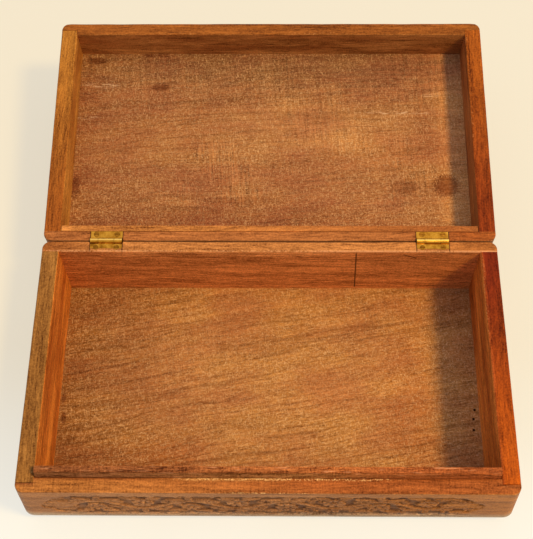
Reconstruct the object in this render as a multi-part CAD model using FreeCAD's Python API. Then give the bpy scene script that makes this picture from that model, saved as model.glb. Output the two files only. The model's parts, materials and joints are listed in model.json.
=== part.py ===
import FreeCAD, Part
import os

# A small carved wooden box with a hinged lid, lying open. Millimetres, +Z up, the front faces -Y.
# The origin is the middle of the underside of the base. Everything is laid out with the lid shut,
# and the lid's pieces are then swung open about the hinge pins.

# Outside sizes
box_width = 228.0
box_depth = 129.5
base_height = 44.6
lid_height = 24.2
corner_radius = 4.0
foot_round = 3.0
foot_splay = 3.0
top_round = 1.6
rim_round = 0.6
rim_easing = 0.5

# Boards
side_board = 8.4
base_front_board = 7.2
base_back_board = 5.8
lid_front_board = 7.0
lid_back_board = 5.2
corner_lap = 2.5
bottom_panel = 4.4
bottom_inset = 3.0
top_panel = 4.8
panel_rabbet = 2.2
panel_clearance = 0.1

# Strips inside the boards
lip_board = 4.0
lip_rise = 4.0
lip_bevel = 1.2
lip_end_gap = 0.4
lid_strip_board = 3.0
lid_strip_end_gap = 0.4

# Lid swing
rim_gap = 0.4
back_gap = 0.4
lid_open_angle = 174.0

# Hinges
hinge_length = 16.0
hinge_inset = 32.0
end_knuckle = 4.0
knuckle_gap = 0.2
barrel_radius = 1.4
barrel_clearance = 0.25
pin_radius = 0.65
pin_clearance = 0.05
leaf_thickness = 0.9
base_leaf_width = 4.2
lid_leaf_width = 5.2
mortise_clearance = 0.1

# Hinge screws
screw_inset = 3.6
screw_spacing = 10.4
screw_head_radius = 1.35
screw_head_depth = 0.75
screw_shank_radius = 0.6
screw_length = 7.0
screw_point = 1.5
screw_clearance = 0.05
screw_slot_width = 0.35
screw_slot_depth = 0.3

# Brads in the corners and round the panels
brad_radius = 0.5
brad_clearance = 0.03
brad_set = 0.8
corner_brad_length = 15.0
panel_brad_length = 11.0
corner_brad_inset = 8.0
lid_brad_inset = 7.0
panel_brad_inset = 28.0
long_edge_brad_count = 3
short_edge_brad_count = 2

# Places worked out from the sizes
half_width = box_width / 2
half_depth = box_depth / 2
foot_half = half_width + foot_splay
bottom_half_x = foot_half - bottom_inset
bottom_half_y = half_depth - bottom_inset
inner_half = half_width - side_board
rim_z = base_height
lid_rim_z = base_height + rim_gap
lid_top_z = lid_rim_z + lid_height
lid_ceiling_z = lid_top_z - top_panel
base_front_y = -half_depth + base_front_board
base_back_y = half_depth - base_back_board
lid_front_y = -half_depth + lid_front_board
lid_back_y = half_depth - lid_back_board
pin_y = half_depth + back_gap / 2
pin_z = base_height + rim_gap / 2
side_mid_x = half_width - side_board / 2
hinge_x = half_width - hinge_inset

# Tools cut past the faces that they open by this much.
overcut = 1.0

UP = FreeCAD.Vector(0, 0, 1)
ALONG_X = FreeCAD.Vector(1, 0, 0)
ALONG_Y = FreeCAD.Vector(0, 1, 0)
CENTRE = FreeCAD.Vector(0, 0, 0)


def block(x0, x1, y0, y1, z0, z1):
    """A box between two corners."""
    return Part.makeBox(x1 - x0, y1 - y0, z1 - z0, FreeCAD.Vector(x0, y0, z0))


def rod(radius, start, direction, length):
    """A plain round rod from a start point."""
    return Part.makeCylinder(radius, length, start, direction)


def mirrored(shape):
    """The same shape on the other side of the box's middle plane."""
    return shape.mirror(CENTRE, ALONG_X)


def level_edges(shape, z):
    """The edges of a shape that lie flat at one height."""
    near = 1e-6
    return [edge for edge in shape.Edges
            if abs(edge.BoundBox.ZMin - z) < near and abs(edge.BoundBox.ZMax - z) < near]


def outer_form(z0, z1, low_half, low_round, high_round):
    """The solid outside of a tray: sides that may lean, rounded upright corners and softened rims."""
    outline = ((-low_half, z0), (low_half, z0), (half_width, z1), (-half_width, z1), (-low_half, z0))
    section = Part.makePolygon([FreeCAD.Vector(x, -half_depth, z) for x, z in outline])
    form = Part.Face(section).extrude(ALONG_Y * box_depth)
    upright = [edge for edge in form.Edges if edge.BoundBox.ZLength > (z1 - z0) / 2]
    form = form.makeFillet(corner_radius, upright)
    form = form.makeFillet(low_round, level_edges(form, z0))
    return form.makeFillet(high_round, level_edges(form, z1))


def rim_bevel(rim, inside, front_y, back_y):
    """A shallow funnel that eases the inner edges of a rim; inside is the way into the tray."""
    deep = rim + inside * rim_easing
    above = rim - inside * overcut
    half = inner_half + rim_easing
    funnel = block(-half, half, front_y - rim_easing, back_y + rim_easing, min(deep, above), max(deep, above))
    return funnel.makeChamfer(rim_easing, level_edges(funnel, deep))


def tray_boards(form, z0, z1, front_y, back_y, bevel):
    """The four boards of a tray. The front board laps over the side boards, the back board butts."""
    lap_y = front_y - corner_lap
    front = block(-foot_half, foot_half, -half_depth, front_y, z0, z1)
    for x0, x1 in ((-foot_half, -inner_half), (inner_half, foot_half)):
        front = front.cut(block(x0, x1, lap_y, front_y, z0, z1))
    back = block(-foot_half, foot_half, back_y, half_depth, z0, z1)
    right = block(inner_half, foot_half, lap_y, back_y, z0, z1)
    boards = {"front": front, "back": back, "right": right}
    boards = {name: form.common(board).cut(bevel) for name, board in boards.items()}
    boards["left"] = mirrored(boards["right"])
    return boards


def under_panel():
    """The bottom panel, fixed under the base's boards and set in a little from their faces."""
    return block(-bottom_half_x, bottom_half_x, -bottom_half_y, bottom_half_y, 0.0, bottom_panel)


def let_in_panel(reach):
    """The lid's top panel, or its rabbet in the lid's boards; reach is how far it goes into them."""
    x = inner_half + reach
    return block(-x, x, lid_front_y - reach, lid_back_y + reach, lid_ceiling_z, lid_top_z)


def front_lip():
    """The strip glued inside the base's front board. Its bevelled top stands up and guides the lid."""
    end = inner_half - lip_end_gap
    inside_y = base_front_y + lip_board
    top_z = rim_z + lip_rise
    outline = ((base_front_y, bottom_panel), (base_front_y, rim_z), (base_front_y + lip_bevel, top_z),
               (inside_y, top_z), (inside_y, bottom_panel), (base_front_y, bottom_panel))
    section = Part.makePolygon([FreeCAD.Vector(-end, y, z) for y, z in outline])
    return Part.Face(section).extrude(ALONG_X * (2 * end))


def lid_strip():
    """The strip glued inside the lid's back board, level with the lid's rim."""
    end = inner_half - lid_strip_end_gap
    return block(-end, end, lid_back_y - lid_strip_board, lid_back_y, lid_rim_z, lid_ceiling_z)


def knuckle_spans(middle):
    """Start and end of a leaf's own knuckles along the pin, from the middle of the hinge."""
    outer = hinge_length / 2
    split = outer - end_knuckle
    slack = knuckle_gap / 2
    if middle:
        return [(-split + slack, split - slack)]
    return [(-outer, -split - slack), (split + slack, outer)]


def screw_places(x):
    """The two screw positions of a leaf along the hinge."""
    return [x - screw_spacing / 2, x + screw_spacing / 2]


def screw_body(x, clearance):
    """A countersunk screw let into the base's rim, or with a clearance the hole that takes it."""
    top = FreeCAD.Vector(x, pin_y - screw_inset, rim_z)
    head = screw_head_radius + clearance
    shank = screw_shank_radius + clearance
    cone = Part.makeCone(head, shank, screw_head_depth, top, -UP)
    straight = screw_length - screw_point
    body = cone.fuse(rod(shank, top, -UP, straight))
    tip = Part.makeCone(shank, shank / 4, screw_point, top - UP * straight, -UP)
    return body.fuse(tip).removeSplitter()


def hinge_screw(x):
    """One slotted hinge screw in the base's rim."""
    y = pin_y - screw_inset
    reach = screw_head_radius + overcut
    slot = block(x - reach, x + reach, y - screw_slot_width / 2, y + screw_slot_width / 2,
                 rim_z - screw_slot_depth, rim_z + overcut)
    return screw_body(x, 0.0).cut(slot)


def hinge_leaf(x, width, middle):
    """A hinge leaf lying in the base's rim, with its knuckles round the pin."""
    outer = hinge_length / 2
    leaf = block(x - outer, x + outer, pin_y - width, pin_y, rim_z - leaf_thickness, rim_z)
    clear_y = pin_y - barrel_radius - barrel_clearance
    leaf = leaf.cut(block(x - outer, x + outer, clear_y, pin_y, rim_z - leaf_thickness, rim_z))
    for start, end in knuckle_spans(middle):
        centre = FreeCAD.Vector(x + start, pin_y, pin_z)
        tongue = block(x + start, x + end, clear_y, pin_y, rim_z - leaf_thickness, rim_z)
        leaf = leaf.fuse(tongue).fuse(rod(barrel_radius, centre, ALONG_X, end - start))
    bore_start = FreeCAD.Vector(x - outer - overcut, pin_y, pin_z)
    bore = rod(pin_radius + pin_clearance, bore_start, ALONG_X, hinge_length + 2 * overcut)
    leaf = leaf.cut(bore)
    for screw_x in screw_places(x):
        leaf = leaf.cut(screw_body(screw_x, screw_clearance))
    return leaf.removeSplitter()


def hinge_mortise(x, width):
    """What is cut out of the base's rim for a leaf, its barrel and its screws."""
    outer = hinge_length / 2
    room = outer + mortise_clearance
    pocket = block(x - room, x + room, pin_y - width - mortise_clearance, pin_y,
                   rim_z - leaf_thickness, rim_z + overcut)
    barrel_room = outer + barrel_clearance
    start = FreeCAD.Vector(x - barrel_room, pin_y, pin_z)
    mortise = pocket.fuse(rod(barrel_radius + barrel_clearance, start, ALONG_X, 2 * barrel_room))
    for screw_x in screw_places(x):
        mortise = mortise.fuse(screw_body(screw_x, screw_clearance))
    return mortise


def hinge_pin(x):
    """The pin through a hinge's knuckles."""
    return rod(pin_radius, FreeCAD.Vector(x - hinge_length / 2, pin_y, pin_z), ALONG_X, hinge_length)


def over_the_rim(shape):
    """The same piece on the lid's rim, with the lid shut."""
    return shape.mirror(FreeCAD.Vector(0, pin_y, pin_z), UP)


def brad(point, direction, length, clearance):
    """A headless brad driven in from a face and set below it, or with a clearance the hole that takes it."""
    return rod(brad_radius + clearance, point + direction * brad_set, direction, length - brad_set)


def corner_brads(heights, clearance):
    """Brads through the front and back boards into the ends of the side boards."""
    brads = []
    for x in (-side_mid_x, side_mid_x):
        for y, direction in ((-half_depth, ALONG_Y), (half_depth, -ALONG_Y)):
            for z in heights:
                point = FreeCAD.Vector(x, y, z)
                brads.append(brad(point, direction, corner_brad_length, clearance))
    return brads


def spread(count, half_span):
    """Places evenly spaced from one end of a span to the other."""
    return [half_span * (2 * index / (count - 1) - 1) for index in range(count)]


def bottom_brads(clearance):
    """Brads up through the bottom panel into the boards, in the middle of where both lie over each other."""
    side_x = (inner_half + bottom_half_x) / 2
    long_y = ((base_front_y - bottom_half_y) / 2, (base_back_y + bottom_half_y) / 2)
    places = [(x, y) for x in spread(long_edge_brad_count, half_width - panel_brad_inset) for y in long_y]
    for y in spread(short_edge_brad_count, half_depth - panel_brad_inset):
        places += [(-side_x, y), (side_x, y)]
    return [brad(FreeCAD.Vector(x, y, 0), UP, panel_brad_length, clearance) for x, y in places]


def top_brads(clearance):
    """Brads through the lid's boards into the edges of its top panel."""
    z = (lid_ceiling_z + lid_top_z) / 2
    brads = []
    for x in spread(long_edge_brad_count, half_width - panel_brad_inset):
        for y, direction in ((-half_depth, ALONG_Y), (half_depth, -ALONG_Y)):
            point = FreeCAD.Vector(x, y, z)
            brads.append(brad(point, direction, panel_brad_length, clearance))
    for y in spread(short_edge_brad_count, half_depth - panel_brad_inset):
        for x, direction in ((-half_width, ALONG_X), (half_width, -ALONG_X)):
            point = FreeCAD.Vector(x, y, z)
            brads.append(brad(point, direction, panel_brad_length, clearance))
    return brads


def cut_all(shape, tools):
    """A shape with each tool that reaches it cut out."""
    for tool in tools:
        if shape.BoundBox.intersect(tool.BoundBox):
            shape = shape.cut(tool)
    return shape


def base_pieces():
    """Every piece of the base by node name."""
    form = outer_form(bottom_panel, base_height, foot_half, foot_round, rim_round)
    bevel = rim_bevel(rim_z, -1, base_front_y, base_back_y)
    boards = tray_boards(form, bottom_panel, base_height, base_front_y, base_back_y, bevel)
    brad_heights = (bottom_panel + corner_brad_inset, base_height - corner_brad_inset)
    tools = corner_brads(brad_heights, brad_clearance) + bottom_brads(brad_clearance)
    tools += [hinge_mortise(x, base_leaf_width) for x in (-hinge_x, hinge_x)]
    screws = [hinge_screw(x) for side in (-hinge_x, hinge_x) for x in screw_places(side)]
    pieces = {"base_%s_board" % name: cut_all(board, tools) for name, board in boards.items()}
    pieces["base_bottom_panel"] = cut_all(under_panel(), tools)
    pieces["base_front_lip"] = cut_all(front_lip(), tools)
    pieces["left_hinge_base_leaf"] = hinge_leaf(-hinge_x, base_leaf_width, True)
    pieces["right_hinge_base_leaf"] = hinge_leaf(hinge_x, base_leaf_width, False)
    pieces["left_hinge_pin"] = hinge_pin(-hinge_x)
    pieces["right_hinge_pin"] = hinge_pin(hinge_x)
    pieces["base_hinge_screws"] = Part.makeCompound(screws)
    pieces["base_corner_brads"] = Part.makeCompound(corner_brads(brad_heights, 0.0))
    pieces["base_panel_brads"] = Part.makeCompound(bottom_brads(0.0))
    return pieces


def lid_pieces():
    """Every piece of the lid by node name, with the lid shut."""
    form = outer_form(lid_rim_z, lid_top_z, half_width, rim_round, top_round)
    bevel = rim_bevel(lid_rim_z, 1, lid_front_y, lid_back_y)
    boards = tray_boards(form, lid_rim_z, lid_top_z, lid_front_y, lid_back_y, bevel)
    boards = {name: board.cut(let_in_panel(panel_rabbet)) for name, board in boards.items()}
    brad_heights = (lid_rim_z + lid_brad_inset, lid_ceiling_z - lid_brad_inset)
    tools = corner_brads(brad_heights, brad_clearance) + top_brads(brad_clearance)
    tools += [over_the_rim(hinge_mortise(x, lid_leaf_width)) for x in (-hinge_x, hinge_x)]
    screws = [over_the_rim(hinge_screw(x))
              for side in (-hinge_x, hinge_x) for x in screw_places(side)]
    pieces = {"lid_%s_board" % name: cut_all(board, tools) for name, board in boards.items()}
    pieces["lid_top_panel"] = cut_all(let_in_panel(panel_rabbet - panel_clearance), tools)
    pieces["lid_back_strip"] = cut_all(lid_strip(), tools)
    pieces["left_hinge_lid_leaf"] = over_the_rim(hinge_leaf(-hinge_x, lid_leaf_width, False))
    pieces["right_hinge_lid_leaf"] = over_the_rim(hinge_leaf(hinge_x, lid_leaf_width, True))
    pieces["lid_hinge_screws"] = Part.makeCompound(screws)
    pieces["lid_corner_brads"] = Part.makeCompound(corner_brads(brad_heights, 0.0))
    pieces["lid_panel_brads"] = Part.makeCompound(top_brads(0.0))
    return pieces


def swung_open(shape):
    """A lid piece turned from shut to open about the hinge pins."""
    opened = shape.copy()
    opened.rotate(FreeCAD.Vector(0, pin_y, pin_z), ALONG_X, -lid_open_angle)
    return opened


os.makedirs("parts", exist_ok=True)
pieces = base_pieces()
pieces.update({name: swung_open(shape) for name, shape in lid_pieces().items()})
for name, shape in pieces.items():
    shape.exportStep("parts/%s.step" % name)
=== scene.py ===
import json
import math
import bpy
import numpy as np
from mathutils import Matrix, Vector

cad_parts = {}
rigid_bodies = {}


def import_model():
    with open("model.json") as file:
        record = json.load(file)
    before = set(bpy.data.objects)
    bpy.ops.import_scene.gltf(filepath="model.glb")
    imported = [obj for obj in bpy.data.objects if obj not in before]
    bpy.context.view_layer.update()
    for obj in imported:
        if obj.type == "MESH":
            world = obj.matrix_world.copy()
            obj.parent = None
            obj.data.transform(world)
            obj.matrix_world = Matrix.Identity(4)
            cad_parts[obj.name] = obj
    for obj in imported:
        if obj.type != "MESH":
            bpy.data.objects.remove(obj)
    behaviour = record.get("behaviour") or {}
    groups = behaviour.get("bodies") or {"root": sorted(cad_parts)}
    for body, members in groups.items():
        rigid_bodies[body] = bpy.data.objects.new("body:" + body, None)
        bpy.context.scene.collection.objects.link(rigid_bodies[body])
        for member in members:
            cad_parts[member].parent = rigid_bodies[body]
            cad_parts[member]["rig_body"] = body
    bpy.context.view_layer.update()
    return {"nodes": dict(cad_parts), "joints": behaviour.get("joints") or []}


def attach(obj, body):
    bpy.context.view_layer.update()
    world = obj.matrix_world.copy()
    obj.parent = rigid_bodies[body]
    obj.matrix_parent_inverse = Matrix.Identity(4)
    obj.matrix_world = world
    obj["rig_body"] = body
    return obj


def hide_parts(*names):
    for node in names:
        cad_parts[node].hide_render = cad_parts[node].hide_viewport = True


# The looks of a small carved rosewood box that lies open. Shapes are worked out in millimetres, in the
# box's own frame and with the lid shut, from the frame's boxes. Meshes are made in metres.

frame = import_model()

MM = 0.001
PHOTO_WIDTH, PHOTO_HEIGHT = 533, 539

# Camera, fitted to the edges of the box in the photograph
CAMERA_PLACE = (5.893, -207.763, 527.591)
CAMERA_TURN = (27.98, 0.607, 0.445)
CAMERA_FOCUS_PIXELS = 1102.9
SENSOR_WIDTH = 36.0

# Light: the way to the lamp follows the shadows of the right-hand walls
LAMP_WAY = (0.57, -0.25, 1.0)
LAMP_FAR = 2.4
LAMP_SIZE = 0.36
LAMP_WATTS = 54.0
LAMP_COLOUR = (1.0, 0.7, 0.22)
FILL_COLOUR = (0.85, 0.9, 1.0)
FILL_STRENGTH = 0.76
FILL_EVEN = 0.4
FILL_LEAN = (0.0, 0.3, 0.9)
TABLE_COLOUR = (250, 243, 220)
TABLE_GLOW_FAR = (236, 224, 202)
TABLE_GLOW_NEAR = (250, 248, 240)
TABLE_GLOW = 0.8
TABLE_GLOW_DEPTHS = (-110.0, 40.0)
TABLE_REACH = 3.0
TABLE_DROP = 0.0001

# Softened edges of the boards
CORNER_RADIUS = 4.0
FOOT_ROUND = 3.0
FOOT_SPLAY = 3.0
TOP_ROUND = 1.6
RIM_ROUND = 0.7
INNER_EASING = 0.7
WORN_EDGE = 0.5
WARP = 0.12
WARP_REACH = 4.0

# Slow waves along a worn edge: rate to the millimetre and shift from board to board
WEAR_WAVES = ((0.045, 1.3), (0.11, 2.9), (0.29, 4.7))

# How far from the rim's inner and outer edges the wood shows their wear
INNER_WEAR = 2.0
OUTER_WEAR = 0.6

# Joints between the boards
CORNER_LAP = 2.5
PANEL_RABBET = 2.2
STEP = 0.01
FAR_OFF = 1000.0
TINY = 1e-9

# Grids of the meshes
CARVED_PITCH = 0.6
TOP_PITCH = 0.75
PLAIN_PITCH = 2.5
EDGE_PITCHES = (0.15, 0.35, 0.6, 0.9, 1.3, 1.8)
MAP_GAP = 2.0
SHARP_ANGLE = 70

# Carving
CARVE_DEPTH = 1.2
CARVE_WALL = 0.35
BAND_MARGIN = 6.4
BAND_START = 8.5
BAND_STOP = 14.0
BAND_TAPER = 13.0
VINE_WAVE = 44.0
VINE_SWING = 5.6
STEM_WIDTH = 2.0
STEM_DROP = 0.12
STEM_ROUND = 0.3

# A leaf's rib, side veins and fall to the edge
RIB_DEPTH = 0.4
RIB_WIDTH = 0.45
VEIN_DEPTH = 0.16
VEIN_SPACING = 1.9
VEIN_SLANT = 0.9
LEAF_CROWN = 0.3

# A flower's eye and lobes as shares of its radius, and the depths of its grooves
EYE_SHARE = 0.3
LOBE_SHARE = 0.18
FURROW_DEPTH = 0.55
DISH_DEPTH = 0.35
RING_DEPTH = 0.7
RING_WIDTH = 0.4
DOME_DEPTH = 0.3

# Flowers, upright leaves, small leaves and end leaves of the vine, sizes as length and width
FLOWER_PETALS = 8
FLOWER_RISE = 3.2
FLOWER_RADII = (4.8, 5.8)
FLOWER_TURN = 11
UPRIGHT_RISE = 6.0
UPRIGHT_SIZE = (8.0, 4.6)
SMALL_LEAVES = 9
SMALL_LENGTHS = (4.0, 6.5)
SMALL_WIDTH = 2.8
END_SIZE = (17, 12)

# Leaves of each half wave: start along it, start from its middle, angle, length, width and bend
VINE_LEAVES = ((1.6, 6.4, 14, 10.5, 5.0, -0.08), (1.4, -9.4, -12, 9.5, 4.6, 0.1),
               (10.4, 1.2, 140, 7.0, 3.8, 0.06), (8.8, -2.6, -56, 7.0, 4.0, 0.08))

# The lid's top
SCROLL_WIND = 0.3
SCROLL_LEAVES = 9
TOP_PETALS = 12
PALM_SPREADS = (0, 32, 64)
TOP_MARGIN = 6.0
TOP_BEAD = 3.0

# Screen colours, from 0 to 255
# Dirt, also used as painted shade by the gap between the back rim and the lid
DIRT_AND_SHADE = (52, 26, 14)
CARVING_GROUND = (74, 46, 36)
# Painted light bounced up from the table, low on the carved faces
TABLE_BOUNCE_LIGHT = (186, 180, 172)
# Pale chips of bare wood, also used for the painted highlight along the front's outer edge
BARE_WOOD_AND_HIGHLIGHT = (234, 190, 134)
# Dashes of painted highlight on the lip's top
LIP_HIGHLIGHTS = (222, 160, 120)
# A painted highlight along the back rim's rubbed inner edge
RUBBED_EDGE_HIGHLIGHT = (226, 164, 122)
FLECKS = (226, 180, 132)
SCUFF = (224, 190, 158)
HOLE = (40, 22, 12)
# A painted highlight on the hinge barrels
BARREL_HIGHLIGHT = (252, 212, 120)
HINGE_TONES = ((96, 62, 18), (178, 122, 38), (220, 164, 64), (240, 194, 96))
SCREW_TONES = ((84, 54, 16), (150, 104, 36), (200, 146, 62))
WIRE_TONES = ((70, 52, 40), (126, 120, 114), (160, 158, 154))
LIP_SLOPES = ((128, 83, 53), (158, 106, 62), (146, 78, 40))
LIP_TOPS = ((138, 82, 46), (176, 103, 54), (152, 80, 39))

# Tints, as shares of a colour's three parts
PORE_TINT = (0.36, 0.3, 0.26)
RED_PATCH = (0.9, 0.84, 0.8)
PALE_PATCH = (1.08, 1.13, 1.16)
BACK_TINT = (1.4, 1.65, 1.9)
LEFT_TINT = (0.6, 0.54, 0.48)
# The right tint lightens the lid floor's right end: painted light where the right wall's shadow falls
RIGHT_PAINTED_LIGHT = (1.6, 1.75, 1.8)
RING_TINT = (0.5, 0.42, 0.34)
STAIN_TINT = (0.52, 0.38, 0.32)

# How far a colour's three parts follow the grain, and how dark they go at most
GRAIN_PULL = (1.15, 1.3, 1.45)
GRAIN_LEAST = (0.2, 0.16, 0.12)

# How far the grain wavers, and the step in the noise from one piece of wood to the next
GRAIN_SHIFT = (0.0, 6.0, 6.0)
SEED_STEP = (37.0, 19.0, 53.0)

# Shares of bands, streaks, fibres, saw cuts and grit in the grain of rubbed and of sawn wood
RUBBED = (0.55, 0.85, 0.8, 0.3, 0.7)
RUBBED_ACROSS = (0.6, 0.7, 0.5, 0.42, 0.7)
CALM = (0.5, 0.7, 0.6, 0.05, 0.6)
LID_SAWN = (0.15, 0.4, 0.5, 0.6, 0.5)
FLOOR_SAWN = (0.15, 0.4, 0.5, 0.3, 0.5)

# Turns of the grain in degrees
SIDEWAYS = -90
LID_GRAIN = 4
FLOOR_GRAIN = -10

# Where the floors' dark left side and the painted light from the table low on the carved faces start, and
# where they are full
LEFT_DARK = (-30.0, -110.0)
BOUNCE_LIGHT_HEIGHTS = (15.0, 4.0)

# Stretches across the box, the middle and half the length: worn, darker and paler wood, a painted highlight
# on the front's outer edge and painted shade on the back rim by the lid
FRONT_BARE_INSIDE = (8.0, 66.0)
# The front's outer edge: a painted highlight
FRONT_OUTER_HIGHLIGHT = (-2.0, 26.0)
FRONT_DARK_EDGE = (-95.0, 60.0)
FRONT_PALE_EDGE = (-16.0, 28.0)
BACK_RUBBED = (-22.0, 70.0)
# The back rim by the lid: painted shade
BACK_GAP_SHADE = (5.0, 75.0)
DARK_EDGE_TINT = (0.5, 0.4, 0.45)
PALE_EDGE_TINT = (1.35, 1.9, 2.4)

# A saw kerf and a split in the base's back wall: both ends across and up, and the width
BACK_KERF = ((43.7, 42.7), (44.9, 6.5), 0.5)
BACK_SPLIT = ((67.7, 41.3), (74.1, 38.2), 0.6)

# Old stains on the lid's inside and on the base's floor: place, width, depth and strength
LID_STAINS = ((72, 25, 8.5, 5, 0.55), (94, 24, 8, 7.5, 0.95), (-61, -36, 6, 2.8, 0.9),
              (-97, -53.3, 6.5, 2.6, 0.9), (-68, -56.8, 3.2, 1.6, 0.9), (-60.7, -56.8, 3.8, 1.4, 0.9),
              (-104, 25, 3, 8, 0.8), (-70, 48, 40, 9, 0.3), (-10, 42, 60, 8, 0.25), (-14, 33, 24, 2.6, 0.5))
FLOOR_STAINS = ((-103.2, -14.5, 1.6, 3.6, 0.9), (-104, -4, 1.2, 3, 0.9))

# Broad places there: place, width, depth and tint
LID_TONES = ((0, -56, 140, 24, (0.7, 0.76, 0.9)), (-20, 52, 120, 20, (0.93, 0.8, 0.86)),
             (18, -11, 46, 16, (1.3, 1.45, 1.48)), (-68, -2, 42, 16, (1.22, 1.32, 1.2)),
             (62, 4, 36, 13, (1.16, 1.16, 1.1)))
FLOOR_TONES = ((38, 2, 34, 20, (1.14, 1.15, 1.12)), (-60, -36, 28, 14, (0.9, 0.76, 0.66)),
               (72, -5, 16, 60, (0.98, 0.87, 0.78)))

# Pale scuffs there, and plain saw marks: place, width and depth
LID_SCUFFS = ((-91, -37, 8, 1.6), (-101, -38, 4, 1.2), (-100, -17, 7, 1.2), (68, -20, 22, 0.9),
              (88, -31, 6, 1.2))
FLOOR_SCUFFS = ((102.5, -32.5, 0.9, 0.9), (99, 56, 0.8, 0.8))
LID_SAW_MARKS = ((-22, 17, 16, 9), (-30, 4, 14, 8), (-16, 30, 15, 7))

# Brad holes in the base's floor by the right-hand wall, and their radius
FLOOR_HOLES = ((103.3, -9.5), (102.4, -14.3), (102.1, -20.1))
HOLE_RADIUS = 0.8


# The lid's frame

joint = frame["joints"][0]
pivot = Vector(joint["pos_m"])
swing = math.radians(joint["range_deg"][1])
shutting = (Matrix.Translation(pivot) @ Matrix.Rotation(swing, 4, Vector(joint["axis"]))
            @ Matrix.Translation(-pivot))
opening = shutting.inverted()


def shut_box(node):
    """Lowest and highest corner of a node in millimetres, with the lid shut."""
    thing = frame["nodes"][node]
    turn = shutting if thing["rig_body"] == "lid" else Matrix.Identity(4)
    places = np.array([turn @ vertex.co for vertex in thing.data.vertices]) / MM
    return places.min(0), places.max(0)


BARREL_Z = shut_box("right_hinge_base_leaf")[1][2]
half_width = shut_box("lid_right_board")[1][0]
inner_half = shut_box("base_right_board")[0][0]
back_inner = shut_box("base_back_board")[0][1]
back_outer, back_rim = shut_box("base_back_board")[1][1:]


# Grids

def grid_lines(start, stop, pitch, breaks=()):
    """Grid lines from start to stop, close together at both ends and doubled at each break."""
    middle = np.linspace(start, stop, max(2, int(round((stop - start) / pitch)) + 1))
    near = [start + gap for gap in EDGE_PITCHES] + [stop - gap for gap in EDGE_PITCHES]
    steps = [place + side for place in breaks for side in (-STEP, STEP)]
    inner = middle[(middle > start + EDGE_PITCHES[-1]) & (middle < stop - EDGE_PITCHES[-1])]
    lines = np.concatenate([[start, stop], inner, near, steps])
    return np.unique(np.round(lines[(lines >= start) & (lines <= stop)], 4))


def lattice(xs, ys, zs):
    """The surface of a block of grid lines: its points, its quads and the side that each quad is on."""
    points = np.stack(np.meshgrid(xs, ys, zs, indexing="ij"), axis=-1).reshape(-1, 3)
    at = np.arange(len(points)).reshape(len(xs), len(ys), len(zs))
    sides = (at[0].T, at[-1], at[:, 0], at[:, -1].T, at[:, :, 0].T, at[:, :, -1])
    quads = [np.stack([side[:-1, :-1], side[1:, :-1], side[1:, 1:], side[:-1, 1:]], axis=-1)
             for side in sides]
    quads = [part.reshape(-1, 4) for part in quads]
    side_of = np.repeat(np.arange(6), [len(part) for part in quads])
    used, quads = np.unique(np.concatenate(quads), return_inverse=True)
    return points[used], quads.reshape(-1, 4), side_of


def stacked_map(points, quads, side_of):
    """A flat layout with the six sides of a block stacked above each other, longest way across."""
    corners = points[quads]
    layout = np.zeros((len(quads), 4, 2))
    height, width = 0.0, 0.0
    for side in range(6):
        axes = [axis for axis in range(3) if axis != side // 2]
        axes.sort(key=lambda axis: -np.ptp(points[:, axis]))
        part = corners[side_of == side][:, :, axes] - points[:, axes].min(0)
        layout[side_of == side] = part + (0, height)
        height += np.ptp(points[:, axes[1]]) + MAP_GAP
        width = max(width, np.ptp(points[:, axes[0]]))
    return layout / max(width, height)


def add_object(name, data):
    """A new object in the scene."""
    made = bpy.data.objects.new(name, data)
    bpy.context.scene.collection.objects.link(made)
    return made


def make_piece(node, points, quads, layout, values, materials, pick=None):
    """A mesh in the place of a node, from points in millimetres with the lid shut."""
    body = frame["nodes"][node]["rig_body"]
    mesh = bpy.data.meshes.new("shaped_" + node)
    mesh.from_pydata((points * MM).tolist(), [], quads.tolist())
    mesh.uv_layers.new(name="OFBake").data.foreach_set("uv", layout.ravel())
    for key, numbers in values.items():
        mesh.attributes.new(key, "FLOAT", "POINT").data.foreach_set("value", numbers)
    mesh.shade_smooth()
    mesh.set_sharp_from_angle(angle=math.radians(SHARP_ANGLE))
    for material in materials:
        mesh.materials.append(material)
    if pick is not None:
        mesh.polygons.foreach_set("material_index", pick)
    piece = add_object("shaped_" + node, mesh)
    if body == "lid":
        piece.matrix_world = opening
    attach(piece, body)
    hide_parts(node)


# Carving

def smooth(low, high, value):
    """A soft step from 0 to 1 between two values."""
    share = np.clip((value - low) / (high - low), 0, 1)
    return share * share * (3 - 2 * share)


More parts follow.
